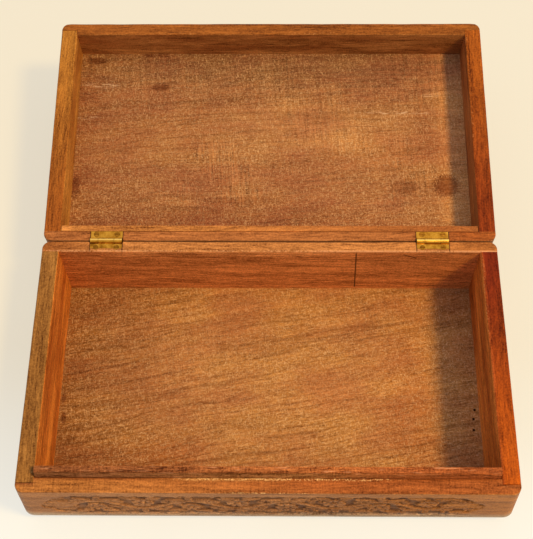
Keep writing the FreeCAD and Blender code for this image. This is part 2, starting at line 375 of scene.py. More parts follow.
class Relief:
    """A carved field: level is the height over the plain face at each place, and starts as cut ground."""

    def __init__(self, across, up):
        self.across = across
        self.up = up
        self.level = np.full(len(across), -CARVE_DEPTH)

    def keep(self, inside, top):
        """Leaves wood standing where inside is above zero millimetres, with its own top surface."""
        share = smooth(-CARVE_WALL, CARVE_WALL, inside)
        self.level = np.maximum(self.level, (top + CARVE_DEPTH) * share - CARVE_DEPTH)

    def stem(self, distance, width):
        """A rounded stalk along a line that is this far away."""
        fall = STEM_ROUND * np.minimum(distance * 2 / width, 1) ** 2
        self.keep(width / 2 - distance, -STEM_DROP - fall)

    def leaf(self, x, y, angle, length, width, bend=0.0):
        """A pointed leaf with a middle rib and side veins, growing from a place."""
        turn = math.radians(angle)
        along = (self.across - x) * math.cos(turn) + (self.up - y) * math.sin(turn)
        aside = (self.up - y) * math.cos(turn) - (self.across - x) * math.sin(turn)
        share = np.clip(along / length, 0, 1)
        aside = aside - bend * length * 4 * share * (1 - share)
        half = width / 2 * 1.9 * np.sqrt(share) * (1 - share) ** 0.75
        inside = np.where((along > 0) & (along < length), half - np.abs(aside), -1.0)
        rib = RIB_DEPTH * np.exp(-(aside / RIB_WIDTH) ** 2)
        slant = along - VEIN_SLANT * np.abs(aside)
        veins = VEIN_DEPTH * (1 + np.cos(2 * math.pi * slant / VEIN_SPACING))
        crown = LEAF_CROWN * np.minimum(np.abs(aside) / np.maximum(half, 0.3), 1) ** 2
        self.keep(inside, -(rib + veins + crown))

    def polar(self, x, y):
        """How far each place is from another, and which way."""
        dx, dy = self.across - x, self.up - y
        return np.hypot(dx, dy), np.arctan2(dy, dx)

    def rosette(self, x, y, radius, petals, turn=0.0):
        """A round flower with grooved petals and a domed eye."""
        distance, way = self.polar(x, y)
        lobe = np.abs(np.cos(petals / 2 * (way + math.radians(turn))))
        eye = EYE_SHARE * radius
        furrow = FURROW_DEPTH * (1 - lobe) ** 2
        dish = DISH_DEPTH * np.sin(math.pi * np.clip(distance / radius, 0, 1))
        ring = RING_DEPTH * np.exp(-((distance - eye) / RING_WIDTH) ** 2)
        dome = DOME_DEPTH * np.clip(distance / eye, 0, 1) ** 2
        reach = radius * (1 - LOBE_SHARE + LOBE_SHARE * lobe)
        self.keep(reach - distance, np.where(distance < eye, -dome - ring, -(furrow + dish + ring)))

    def scroll(self, x, y, radius, start):
        """A stalk that winds inward from a radius round the flower in its middle."""
        distance, way = self.polar(x, y)
        turned = (way - math.radians(start)) / (2 * math.pi) % 1.0
        for lap in range(2):
            self.stem(np.abs(distance - radius * (1 - (turned + lap) * SCROLL_WIND)), STEM_WIDTH)

    def fit(self, inside):
        """The carving kept to a field, with the plain face round it."""
        return self.level * smooth(-CARVE_WALL, CARVE_WALL, inside)


def vine_band(across, up, half_length, half_height):
    """A running vine with flowers and crowded leaves between two plain margins, pointed at both ends."""
    relief = Relief(across, up)
    turns = 2 * math.pi / VINE_WAVE
    slope = VINE_SWING * turns * np.cos(turns * across)
    relief.stem(np.abs(up - VINE_SWING * np.sin(turns * across)) / np.hypot(1, slope), STEM_WIDTH)
    half_wave = VINE_WAVE / 2
    count = int(half_length // half_wave) + 1
    hand = np.random.default_rng(count)
    for index in range(-count - 1, count + 1):
        x = (index + 0.5) * half_wave + hand.uniform(-1, 1)
        way = 1 if index % 2 == 0 else -1
        radius = hand.uniform(*FLOWER_RADII)
        relief.rosette(x, -FLOWER_RISE * way, radius, FLOWER_PETALS, FLOWER_TURN * index)
        upright = 90 * way + hand.uniform(-20, 20)
        relief.leaf(x, UPRIGHT_RISE * way, upright, *UPRIGHT_SIZE)
        for side in (-1, 1):
            lean = 0 if side > 0 else 180
            tilt = way * side
            for reach, rise, angle, length, width, bend in VINE_LEAVES:
                angle = lean + angle * tilt + hand.uniform(-12, 12)
                length = length * hand.uniform(0.8, 1.15)
                relief.leaf(x + reach * side, rise * way, angle, length, width, bend * tilt)
        for leaf in range(SMALL_LEAVES):
            place = hand.uniform((-half_wave / 2, -half_height), (half_wave / 2, half_height))
            angle = hand.uniform(0, 360)
            relief.leaf(x + place[0], place[1], angle, hand.uniform(*SMALL_LENGTHS), SMALL_WIDTH)
    for side in (-1, 1):
        start = side * (half_length - END_SIZE[0])
        relief.leaf(start, 0, 0 if side > 0 else 180, *END_SIZE)
    past = np.clip((np.abs(across) - half_length + BAND_TAPER) / BAND_TAPER, 0, 1)
    ragged = half_height * (1 - past) ** 0.6 + 0.8 * np.sin(across * 0.9) * np.sin(across * 0.23)
    return relief.fit(np.where(past < 1, ragged - np.abs(up), -1.0))


def top_field(across, up, half_length, half_height):
    """A rosette, four scrolls and palm leaves, the same in each quarter, inside a bead and a plain border."""
    relief = Relief(np.abs(across), np.abs(up))
    scroll_x, scroll_y, reach = 0.62 * half_length, 0.46 * half_height, 0.44 * half_height
    relief.rosette(0, 0, 0.3 * half_height, TOP_PETALS)
    relief.scroll(scroll_x, scroll_y, reach, 200)
    relief.rosette(scroll_x, scroll_y, 0.36 * reach, FLOWER_PETALS)
    for step in range(SCROLL_LEAVES):
        angle = 215 + 360 / SCROLL_LEAVES * step
        x = scroll_x + reach * 0.98 * math.cos(math.radians(angle))
        y = scroll_y + reach * 0.98 * math.sin(math.radians(angle))
        relief.leaf(x, y, angle + 34, 0.42 * reach, 0.24 * reach, 0.08)
    for spread in PALM_SPREADS:
        relief.leaf(0, 0.36 * half_height, 90 - spread, 0.46 * half_height, 0.15 * half_height, -0.05)
        relief.leaf(0.2 * half_length, 0, spread, 0.19 * half_length, 0.15 * half_height, 0.05)
        relief.leaf(0.92 * half_length, 0, 180 - spread, 0.16 * half_length, 0.13 * half_height, 0.05)
    inside = np.minimum(half_length - np.abs(across), half_height - np.abs(up))
    level = relief.fit(inside)
    bead = np.abs(inside + TOP_BEAD)
    return level - 0.6 * np.exp(-((bead - 1.0) / 0.35) ** 2)


# Boards

def eased(near, other, radius):
    """Distances from two faces, with the edge between them rounded off."""
    gap, rise = radius - near, radius - other
    scale = np.maximum(gap, rise) / np.maximum(np.hypot(gap, rise), TINY)
    edge = (gap > 0) & (rise > 0)
    return np.where(edge, radius - gap * scale, near), np.where(edge, radius - rise * scale, other)


def wander(place, seed):
    """A slow wavering between 0 and 1 along a board, different for each seed."""
    waves = [np.sin(place * rate + seed * shift) for rate, shift in WEAR_WAVES]
    return 0.5 + sum(waves) / (2 * len(waves))


class Board:
    """One board of a tray, laid out along its length, inward from its outer face and up."""

    def __init__(self, node, turn, seed):
        self.node = node
        self.in_base = frame["nodes"][node]["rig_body"] == "base"
        self.turn = math.radians(turn)
        self.seed = seed
        self.lap_at = None if turn else inner_half
        self.panel_face = None if self.in_base else shut_box("lid_top_panel")[0][2]
        low, high = shut_box(node)
        low[0], high[0] = max(low[0], -half_width), min(high[0], half_width)
        back = Matrix.Rotation(-self.turn, 3, "Z")
        ends = np.array([back @ Vector(corner) for corner in (low, high)])
        (self.start, self.outer, self.low), (self.stop, self.inner, self.high) = ends.min(0), ends.max(0)
        self.thickness = self.inner - self.outer

    def rim_and_foot(self, z):
        """Distances from the open rim and from the closed end of the tray."""
        return (self.high - z, z - self.low) if self.in_base else (z - self.low, self.high - z)

    def carving(self, along, z):
        """The vine on the board's outer face."""
        start, stop = self.start + BAND_START, self.stop - BAND_STOP
        low, high = self.low + BAND_MARGIN, self.high - BAND_MARGIN
        across, up = along - (start + stop) / 2, z - (low + high) / 2
        return vine_band(across, up, (stop - start) / 2, (high - low) / 2)

    def place(self, along, depth, z):
        """Points in the box's frame."""
        flat = np.stack([along, depth + self.outer, z], axis=-1)
        points = flat @ np.array(Matrix.Rotation(self.turn, 3, "Z")).T
        if self.in_base:
            share = np.maximum(np.abs(points[:, 0]) - inner_half, 0) / (half_width - inner_half)
            lean = FOOT_SPLAY * share * (self.high - z) / (self.high - self.low)
            points[:, 0] += np.sign(points[:, 0]) * lean
        return points


def softened(board, wear, depth, end, room, from_rim, from_foot):
    """Distances from the outer face, the end, the rim and the foot, with all edges worn or rounded."""
    rim_radius = RIM_ROUND + WORN_EDGE * wear ** 3
    foot_radius = FOOT_ROUND if board.in_base else TOP_ROUND
    near = np.minimum(depth, end)
    worn, rim = eased(near, from_rim, rim_radius)
    worn, foot = eased(worn, from_foot, foot_radius)
    corner = (depth < CORNER_RADIUS) & (end < CORNER_RADIUS)
    grow = np.where(corner, (CORNER_RADIUS - worn) / np.maximum(CORNER_RADIUS - near, TINY), 1.0)
    new_depth = np.where(depth <= end, worn, depth)
    new_end = np.where(end < depth, worn, end)
    new_depth = np.where(corner, CORNER_RADIUS - (CORNER_RADIUS - depth) * grow, new_depth)
    new_end = np.where(corner, CORNER_RADIUS - (CORNER_RADIUS - end) * grow, new_end)
    new_end, new_depth = eased(new_end, new_depth, CORNER_RADIUS)
    inner, rim = eased(room - new_depth, rim, INNER_EASING)
    new_depth = np.where(depth > room / 2, room - inner, new_depth)
    return new_depth, new_end, rim, foot


def make_board(board, material):
    """A board with softened edges, any rabbet for the panel, any lapped ends and any carving."""
    lap_at, panel_face = board.lap_at, board.panel_face
    pitch = CARVED_PITCH if board.in_base else PLAIN_PITCH
    laps = (-lap_at, lap_at) if lap_at else ()
    xs = grid_lines(board.start, board.stop, pitch, laps)
    ys = grid_lines(0.0, board.thickness, PLAIN_PITCH)
    zs = grid_lines(board.low, board.high, pitch, (panel_face,) if panel_face else ())
    flat, quads, side_of = lattice(xs, ys, zs)
    along, depth, z = flat.T
    from_rim, from_foot = board.rim_and_foot(z)
    relief = board.carving(along, z) if board.in_base else np.zeros(len(along))
    relief = np.where(depth == 0, relief, 0.0)
    inside = np.where((depth > board.thickness - STEP) & (from_rim > STEP), 1.0, 0.0)

    # The rabbet for the panel and the laps over the side boards
    room = np.full(len(along), board.thickness)
    if panel_face:
        room = np.where(from_foot < board.rim_and_foot(panel_face)[1], room - PANEL_RABBET, room)
    end = np.full(len(along), FAR_OFF)
    if lap_at:
        room = np.where(np.abs(along) > lap_at, board.thickness - CORNER_LAP, room)
        end = np.minimum(along - board.start, board.stop - along)
    outside = (depth == 0) | (end < STEP) | (from_foot < STEP)
    outside = np.where(outside & (from_rim > STEP), 1.0, 0.0)
    depth = depth * room / board.thickness - relief

    wear = wander(along, board.seed)
    new_depth, new_end, rim, foot = softened(board, wear, depth, end, room, from_rim, from_foot)
    if lap_at:
        along = np.where(along < 0, board.start + new_end, board.stop - new_end)

    drop = rim - from_rim + WARP * wander(along, board.seed + 5) * np.exp(-from_rim / WARP_REACH)
    rise = foot - from_foot
    z = z + (rise - drop if board.in_base else drop - rise)
    inner_edge = np.exp(-np.maximum(room - depth, from_rim) / INNER_WEAR)
    near = np.maximum(np.minimum(depth, end), 0)
    outer_edge = np.exp(-np.maximum(near, from_rim) / OUTER_WEAR)
    values = {"relief": relief / CARVE_DEPTH, "inside": inside, "outside": outside,
              "inner_edge": inner_edge, "outer_edge": outer_edge}
    layout = stacked_map(flat, quads, side_of)
    make_piece(board.node, board.place(along, new_depth, z), quads, layout, values, [material])


def make_top(outside, ceiling):
    """The lid's top panel, carved outside and left as sawn inside."""
    low, high = shut_box("lid_top_panel")
    xs = grid_lines(low[0], high[0], TOP_PITCH)
    ys = grid_lines(low[1], high[1], TOP_PITCH)
    points, quads, side_of = lattice(xs, ys, np.array([low[2], high[2]]))
    middle = (low + high) / 2
    half = (high - low) / 2 - TOP_MARGIN
    relief = top_field(points[:, 0] - middle[0], points[:, 1] - middle[1], half[0], half[1])
    relief = np.where(points[:, 2] == high[2], relief, 0.0)
    values = {"relief": relief / CARVE_DEPTH}
    layout = stacked_map(points, quads, side_of)
    shaped = points + relief[:, None] * (0, 0, 1)
    make_piece("lid_top_panel", shaped, quads, layout, values, [ceiling, outside],
               np.where(side_of == 5, 1, 0))


# Materials

def linear(colour):
    """A screen colour of 0 to 255 as the linear colour that a shader takes."""
    parts = [part / 255 for part in colour]
    parts = [part / 12.92 if part <= 0.04045 else ((part + 0.055) / 1.055) ** 2.4 for part in parts]
    return (*parts, 1.0)


def tinted(colour, tint):
    """A screen colour with each of its three parts times a share."""
    return [part * share for part, share in zip(colour, tint)]


class Nodes:
    """The node tree of a material or a world, emptied, and ways to add to it."""

    def __init__(self, owner):
        owner.use_nodes = True
        self.tree = owner.node_tree
        self.tree.nodes.clear()

    def add(self, kind, inputs=None, **settings):
        """A new node with its settings and with its inputs set or linked."""
        made = self.tree.nodes.new("ShaderNode" + kind)
        for key, value in settings.items():
            setattr(made, key, value)
        for key, value in (inputs or {}).items():
            self.plug(made.inputs[key], value)
        return made

    def plug(self, socket, value):
        """Links an output to a socket, or sets the socket, a colour of three parts as on a screen."""
        if isinstance(value, bpy.types.NodeSocket):
            self.tree.links.new(value, socket)
        elif socket.type == "VECTOR":
            socket.default_value = value[:3]
        elif socket.type == "RGBA" and len(value) == 3:
            socket.default_value = linear(value)
        else:
            socket.default_value = value

    def math(self, operation, first, second=0.0, third=0.0):
        """Arithmetic on numbers."""
        return self.add("Math", {0: first, 1: second, 2: third}, operation=operation).outputs[0]

    def scaled(self, value, factor, plus):
        """A number times a factor, plus another number."""
        return self.math("MULTIPLY_ADD", value, factor, plus)

    def times(self, first, *others):
        """A product of numbers."""
        for other in others:
            first = self.math("MULTIPLY", first, other)
        return first

    def most(self, first, *others):
        """The largest of some numbers."""
        for other in others:
            first = self.math("MAXIMUM", first, other)
        return first

    def rest(self, value):
        """What a number leaves of 1."""
        return self.math("SUBTRACT", 1.0, value)

    def total(self, *parts):
        """A sum of numbers, each with its own weight."""
        result = 0.0
        for value, weight in parts:
            result = self.scaled(value, weight, result)
        return result

    def step(self, value, low, high):
        """A soft step from 0 to 1 as a number goes from one value to another."""
        inputs = {"Value": value, "From Min": low, "From Max": high}
        return self.add("MapRange", inputs, interpolation_type="SMOOTHSTEP").outputs[0]

    def vector(self, operation, first, second=(0, 0, 0), third=(0, 0, 0), output=0):
        """Arithmetic on vectors or colours, where a number stands for three alike."""
        return self.add("VectorMath", {0: first, 1: second, 2: third}, operation=operation).outputs[output]

    def seen_plainly(self):
        """1 for rays of the camera, of reflections and of glass, which see pale surroundings, else 0."""
        light = self.add("LightPath").outputs
        return self.most(light["Is Camera Ray"], light["Is Glossy Ray"], light["Is Transmission Ray"])


class Paint(Nodes):
    """One material, with the place in millimetres as three numbers."""

    def __init__(self, name):
        self.material = bpy.data.materials.new(name)
        super().__init__(self.material)
        self.shader = self.add("BsdfPrincipled")
        self.add("OutputMaterial", {"Surface": self.shader.outputs[0]})
        self.across, self.depth, self.height = self.add("SeparateXYZ", {0: self.places()}).outputs

    def finish(self, **inputs):
        """Sets the shader's inputs, named with underscores for spaces."""
        for key, value in inputs.items():
            self.plug(self.shader.inputs[key.replace("_", " ")], value)
        return self.material

    def places(self, turn=0):
        """Object coordinates in millimetres, turned by degrees about the upright axis."""
        source = self.add("TexCoord").outputs["Object"]
        turned = self.add("Mapping", {"Vector": source, "Rotation": (0, 0, math.radians(turn))}).outputs[0]
        return self.vector("MULTIPLY", turned, (1 / MM, 1 / MM, 1 / MM))

    def noise(self, vector, waves, detail=2.0, rough=0.6):
        """Noise from -1 to 1 with its waves to the millimetre along the first axis and across it."""
        stretched = self.vector("MULTIPLY", vector, (waves[0], waves[1], waves[1]))
        inputs = {"Vector": stretched, "Scale": 1.0, "Detail": detail, "Roughness": rough}
        return self.scaled(self.add("TexNoise", inputs).outputs["Fac"], 2.0, -1.0)

    def mix(self, share, first, second):
        """Two colours mixed."""
        return self.add("Mix", {0: share, 6: first, 7: second}, data_type="RGBA").outputs[2]

    def tint(self, share, colour, tint):
        """A colour taken towards its own three parts times a tint."""
        return self.mix(share, colour, self.vector("MULTIPLY", colour, tint))

    def ramp(self, value, colours):
        """Screen colours spread evenly along a number."""
        made = self.add("ValToRGB", {"Fac": value})
        stops = made.color_ramp.elements
        while len(stops) < len(colours):
            stops.new(0.5)
        for index, colour in enumerate(colours):
            stops[index].position = index / (len(colours) - 1)
            stops[index].color = linear(colour)
        return made.outputs["Color"]

    def attribute(self, name):
        """A number kept on the mesh."""
        return self.add("Attribute", attribute_name=name).outputs["Fac"]

    def bump(self, height, strength, distance):
        """A normal from a height."""
        inputs = {"Height": height, "Strength": strength, "Distance": distance * MM}
        return self.add("Bump", inputs).outputs[0]

    def line(self, start, stop, width):
        """How near a place is to a line on a wall that faces the front, given by its ends across and up."""
        way = Vector((stop[0] - start[0], 0, stop[1] - start[1]))
        offset = self.vector("SUBTRACT", self.places(), (start[0], 0, start[1]))
        offset = self.vector("MULTIPLY", offset, (1, 0, 1))
        run = self.vector("DOT_PRODUCT", offset, way / way.length_squared, output="Value")
        run = self.add("Clamp", {0: run}).outputs[0]
        offset = self.vector("SUBTRACT", offset, self.vector("MULTIPLY", run, way))
        return self.step(self.vector("LENGTH", offset, output="Value"), width, width / 3)

    def spot(self, x, y, wide, deep, wobble, outer=1.1, inner=0.6):
        """How near a place is to a spot seen from above: 1 in its middle and 0 outside its ragged edge."""
        offset = self.vector("SUBTRACT", self.places(), (x, y, 0))
        flat = self.vector("MULTIPLY", offset, (1 / wide, 1 / deep, 0))
        distance = self.vector("LENGTH", flat, output="Value")
        return self.step(self.scaled(wobble, 0.5, distance), outer, inner)


class Wood(Paint):
    """Rosewood with the grain along its first axis after a turn, and shares of what shows in the grain."""

    def __init__(self, name, seed, shares, turn=0):
        super().__init__(name)
        self.shares = shares
        self.place = self.vector("ADD", self.places(turn), [seed * step for step in SEED_STEP])
        self.drift = self.noise(self.place, (0.012, 0.03), rough=0.55)
        self.grain = self.vector("MULTIPLY_ADD", self.drift, GRAIN_SHIFT, self.place)
        self.bands = self.noise(self.grain, (0.008, 0.14), 3.0)
        self.streaks = self.noise(self.grain, (0.035, 0.6), 3.0)
        self.fibres = self.noise(self.grain, (0.2, 1.5))
        self.cuts = self.noise(self.place, (1.1, 0.05))
        self.grit = self.noise(self.place, (1.2, 1.2))
        self.pores = self.step(self.noise(self.grain, (0.16, 1.6), rough=0.5), 0.2, 0.4)

    def along(self, place, span, middle):
        """A number from 0 to 1 over a span to both sides of a middle, wavering with the grain."""
        return self.step(self.total((self.bands, span / 2), (place, 1.0)), middle - span, middle + span)

    def stretch(self, middle, half_length):
        """1 along the middle half of a stretch across the box, falling to 0 at its ends."""
        away = self.math("ABSOLUTE", self.math("SUBTRACT", self.across, middle))
        return self.step(away, half_length, half_length / 2)

    def colour(self, base):
        """A middle colour taken lighter and darker by the grain, with dark pores."""
        grain = (self.bands, self.streaks, self.fibres, self.cuts, self.grit)
        tone = self.total(*zip(grain, self.shares))
        factor = self.vector("MULTIPLY_ADD", tone, GRAIN_PULL, (1, 1, 1))
        colour = self.vector("MULTIPLY", base, self.vector("MAXIMUM", factor, GRAIN_LEAST))
        return self.tint(self.times(self.pores, 0.28), colour, PORE_TINT)

    def end(self, colour, rough=0.5):
        """The finished material."""
        uneven = self.total((self.streaks, 0.12), (self.pores, 0.2), (self.grit, 0.08))
        height = self.total((self.fibres, 0.35), (self.pores, -0.8), (self.cuts, self.shares[3]),
                            (self.grit, 0.35))
        return self.finish(Base_Color=colour, Roughness=self.math("ADD", uneven, rough),
                           Normal=self.bump(height, strength=0.4, distance=0.14), Specular_IOR_Level=0.06)


# Rubbed boards

def rim_colour(wood, rim, far, edge, sideways):
    """A rim's colour, with any second one along the rim and any third at its inner edge."""
    colour = rim
    if far:
        across = wood.along(wood.across, span=80.0, middle=-25.0)
        share = wood.along(wood.depth, span=60.0, middle=0.0) if sideways else across
        colour = wood.mix(share, colour, far)
    if edge:
        rubbed = wood.scaled(wood.streaks, 0.5, wood.attribute("inner_edge"))
        colour = wood.mix(wood.step(rubbed, 0.4, 0.9), colour, edge)
    return colour


def inner_colour(wood, inner):
    """An inner face's colour, in redder and paler patches."""
    patch = wood.step(wood.noise(wood.place, (0.02, 0.09), 3.0), -0.35, 0.35)
    return wood.mix(patch, tinted(inner, RED_PATCH), tinted(inner, PALE_PATCH))


def bounce_lit_foot(wood, colour):
    """Painted light, as if bounced up from the table, low on a carved face."""
    level = wood.total((wood.grit, 2.0), (wood.drift, 3.0), (wood.height, 1.0))
    bounce = wood.times(wood.step(level, *BOUNCE_LIGHT_HEIGHTS), wood.attribute("outside"), 0.85)
    return wood.mix(bounce, colour, TABLE_BOUNCE_LIGHT)


def darkened_ground(wood, shade):
    """The carving's ground taken darker, more in some places."""
    ground = wood.step(wood.attribute("relief"), -0.25, -0.9)
    thick = wood.scaled(wood.noise(wood.place, (0.12, 0.12), rough=0.55), 0.6, 0.55)
    return wood.mix(wood.times(ground, thick), shade, CARVING_GROUND)


def tinted_edge(wood, shade):
    """Darker and paler wood along the front rim's inner edge."""
    near = wood.step(wood.attribute("inner_edge"), 0.25, 0.9)
    shade = wood.tint(wood.times(wood.stretch(*FRONT_DARK_EDGE), near), shade, DARK_EDGE_TINT)
    return wood.tint(wood.times(wood.stretch(*FRONT_PALE_EDGE), near), shade, PALE_EDGE_TINT)


def chips_and_highlight(wood, shade, edge, bright_stretch):
    """A rim's edge with a few pale chips, and with many on any given stretch: rubbed bare on the front's
    inner edge, a painted highlight on its outer edge.
    """
    worn = wood.times(wood.step(wood.drift, -0.1, 0.3), 0.25)
    if bright_stretch:
        worn = wood.most(worn, wood.stretch(*bright_stretch))
    ragged = wood.total((wood.noise(wood.place, (0.5, 0.9)), 0.6), (wood.grit, 0.8))
    chips = wood.step(wood.scaled(worn, 0.25, ragged), 0.15, 0.5)
    return wood.mix(wood.times(chips, worn, edge), shade, BARE_WOOD_AND_HIGHLIGHT)


def board_wood(board, rim, inner, outer, far=None, outer_far=None, edge=None, shares=CALM, worn=False):
    """A rubbed board with its carved ground darker, painted light from the table low on a carved face, and
    worn edges, with a painted highlight along the front's outer edge.
    """
    sideways = board.turn != 0
    name = board.node.replace("board", "wood")
    wood = Wood(name, board.seed, shares, SIDEWAYS if sideways else 0)
    outside = wood.attribute("outside")
    colour = rim_colour(wood, rim, far, edge, sideways)
    colour = wood.mix(wood.attribute("inside"), colour, inner_colour(wood, inner))
    face = wood.mix(wood.along(wood.across, span=50.0, middle=50.0), outer, outer_far or outer)
    colour = wood.mix(outside, colour, face)
    wood.cuts = wood.times(wood.cuts, wood.rest(outside))
    # Base boards: painted light from the table low on the carved face, and a darker carved ground
    if board.in_base:
        shade = darkened_ground(wood, wood.colour(bounce_lit_foot(wood, colour)))
    else:
        shade = wood.colour(colour)
    if worn:
        shade = tinted_edge(wood, shade)
    inner_edge = wood.step(wood.attribute("inner_edge"), 0.4, 0.8)
    outer_edge = wood.step(wood.attribute("outer_edge"), 0.5, 0.9)
    # Chips along both edges; on the front, the stretch on the outer edge is a painted highlight
    for edge_share, bright_stretch in ((inner_edge, FRONT_BARE_INSIDE), (outer_edge, FRONT_OUTER_HIGHLIGHT)):
        shade = chips_and_highlight(wood, shade, edge_share, bright_stretch if worn else None)
    return wood.end(shade)


def top_wood(colour):
    """The carved outside of the lid's top."""
    wood = Wood("lid_top_wood", 12, RUBBED)
    return wood.end(darkened_ground(wood, wood.colour(linear(colour))))


# Woods of the back and the strips

def faces_up(wood):
    """1 on a rim that faces up at rest, and 0 on upright faces."""
    normal = wood.add("TexCoord").outputs["Normal"]
    return wood.step(wood.add("SeparateXYZ", {0: normal}).outputs[2], 0.6, 0.8)


def hinge_seams(wood):
    """Dirt in the joints at both ends of each hinge leaf, on a rim."""
    low, high = shut_box("right_hinge_base_leaf")
    away = wood.math("SUBTRACT", wood.math("ABSOLUTE", wood.across), (low[0] + high[0]) / 2)
    beyond = wood.math("SUBTRACT", wood.math("ABSOLUTE", away), (high[0] - low[0]) / 2)
    beside = wood.times(wood.step(beyond, 0.7, 0.3), wood.step(beyond, -0.3, 0.0))
    return wood.times(beside, faces_up(wood), 0.75)


def strip_wood(colour, far):
    """The lid's strip, plain and redder to the right."""
    wood = Wood("lid_strip_wood", 13, CALM)
    base = wood.mix(wood.along(wood.across, span=110.0, middle=10.0), colour, far)
    return wood.end(wood.colour(base))


def lid_back_wood(rim, far, outer):
    """The lid's back board: its rim, redder to the right and dirty beside the hinges, and its outside."""
    wood = Wood("lid_back_wood", 9, CALM)
    base = wood.mix(wood.along(wood.across, span=25.0, middle=80.0), rim, far)
    shade = wood.colour(wood.mix(faces_up(wood), outer, base))
    return wood.end(wood.mix(hinge_seams(wood), shade, DIRT_AND_SHADE))


def lip_wood():
    """The lip: a darker slope, and above it a rubbed top with dashes of painted highlight."""
    wood = Wood("lip_wood", 8, RUBBED)
    top_z = shut_box("base_front_lip")[1][2]
    above = wood.step(wood.scaled(wood.fibres, 0.6, wood.height), top_z - 0.9, top_z - 0.2)
    across = wood.along(wood.across, span=100.0, middle=0.0)
    base = wood.mix(above, wood.ramp(across, LIP_SLOPES), wood.ramp(across, LIP_TOPS))
    # Dashes of painted highlight on the lip's top
    highlight_dashes = wood.step(wood.noise(wood.place, (0.1, 1.2)), 0.2, 0.4)
    return wood.end(wood.mix(wood.times(highlight_dashes, 0.45), wood.colour(base), LIP_HIGHLIGHTS), rough=0.45)


def back_colour(wood, above, inner, rim, rim_ends, outer):
    """The back board's colour on its inside, its rim and its outside."""
    ends = wood.most(wood.along(wood.across, span=20.0, middle=90.0),
                     wood.rest(wood.along(wood.across, span=15.0, middle=-95.0)))
    side = wood.step(wood.math("ABSOLUTE", wood.across), half_width - 2.0, half_width - 1.0)
    outside = wood.most(wood.step(wood.depth, back_outer - 0.6, back_outer - 0.2), side)
    wall = wood.mix(outside, inner, outer)
    return wood.mix(above, wall, wood.mix(ends, rim, rim_ends))


def back_rubbing_and_highlight(wood, above, shade):
    """The back board's pale upper wall and the rubbed inner edge of its rim, with a painted highlight along
    that edge.
    """
    upper = wood.step(wood.scaled(wood.streaks, 6.0, wood.height), back_rim - 8.0, back_rim)
    shade = wood.tint(wood.times(upper, wood.stretch(*BACK_RUBBED), wood.rest(above)), shade, BACK_TINT)
    # A painted highlight along the rim's rubbed inner edge
    edge = wood.times(wood.step(wood.height, back_rim - 1.0, back_rim - 0.4),
                      wood.step(wood.depth, back_inner + 0.9, back_inner + 0.5))
    worn = wood.step(wood.total((wood.drift, 1.0), (wood.grit, 0.7)), -0.3, 0.2)
    return wood.mix(wood.times(edge, worn, 0.6), shade, RUBBED_EDGE_HIGHLIGHT)


def back_dirt_and_shade(wood, above):
    """Painted shade on the back rim along the gap to the lid, and dirt beside the hinges and in a saw kerf
    and a split.
    """
    # Painted shade along the rim's outer edge, by the gap to the lid
    by_lid = wood.times(wood.step(wood.depth, back_outer - 0.9, back_outer - 0.5), above)
    by_lid = wood.times(by_lid, wood.stretch(*BACK_GAP_SHADE), 0.6)
    marks = wood.most(wood.line(*BACK_KERF), wood.line(*BACK_SPLIT))
    marks = wood.times(marks, wood.step(wood.depth, back_inner + 2.0, back_inner + 1.0), 0.85)
    return wood.most(by_lid, hinge_seams(wood), marks)


def back_wood(**colours):
    """The base's back board."""
    wood = Wood("base_back_wood", 7, CALM)
    above = wood.step(wood.scaled(wood.grit, 0.3, wood.height), back_rim - 0.7, back_rim - 0.2)
    shade = wood.colour(back_colour(wood, above, **colours))
    shade = back_rubbing_and_highlight(wood, above, shade)
    return wood.end(wood.mix(back_dirt_and_shade(wood, above), shade, DIRT_AND_SHADE))


# Sawn panels

def saw_marked(wood, marks):
    """Keeps the saw cuts across the grain to some places, and makes them plain at each mark."""
    sawn = wood.step(wood.noise(wood.place, (0.02, 0.03), 3.0, 0.55), -0.1, 0.3)
    for mark in marks:
        sawn = wood.scaled(wood.spot(*mark, wood.grit), 1.6, sawn)
    wood.cuts = wood.times(wood.cuts, sawn)


def broad_tones(wood, shade, left, right, tones):
    """A panel's dark left side, its broad lighter and darker places, and its right end taken lighter as
    painted light in the right wall's shadow.
    """
    shade = wood.tint(wood.times(wood.step(wood.across, *LEFT_DARK), left), shade, LEFT_TINT)
    for x, y, wide, deep, tint in tones:
        shade = wood.tint(wood.spot(x, y, wide, deep, wood.streaks, outer=1.4, inner=0.2), shade, tint)
    # Painted light: the right end, where the right wall's shadow falls, taken lighter
    return wood.tint(wood.times(wood.along(wood.across, span=6.0, middle=92.0), right), shade, RIGHT_PAINTED_LIGHT)


def flecks_and_rings(wood, shade, patch, rings):
    """Pale flecks, thicker in the golden patches, and dark broken lines along the grain."""
    flecks = wood.most(wood.noise(wood.place, (0.6, 1.9), rough=0.65),
                       wood.noise(wood.place, (1.9, 0.6), rough=0.65))
    flecks = wood.times(wood.step(flecks, -0.05, 0.6), wood.scaled(patch, 0.5, 0.56))
    shade = wood.mix(flecks, shade, FLECKS)
    lines = wood.math("ABSOLUTE", wood.noise(wood.grain, (0.003, 0.2), 1.0, 0.5))
    lines = wood.times(wood.step(lines, 0.09, 0.0), wood.step(wood.drift, -0.5, 0.3),
                       wood.step(wood.fibres, -0.9, 0.0), rings)
    return wood.tint(lines, shade, RING_TINT)


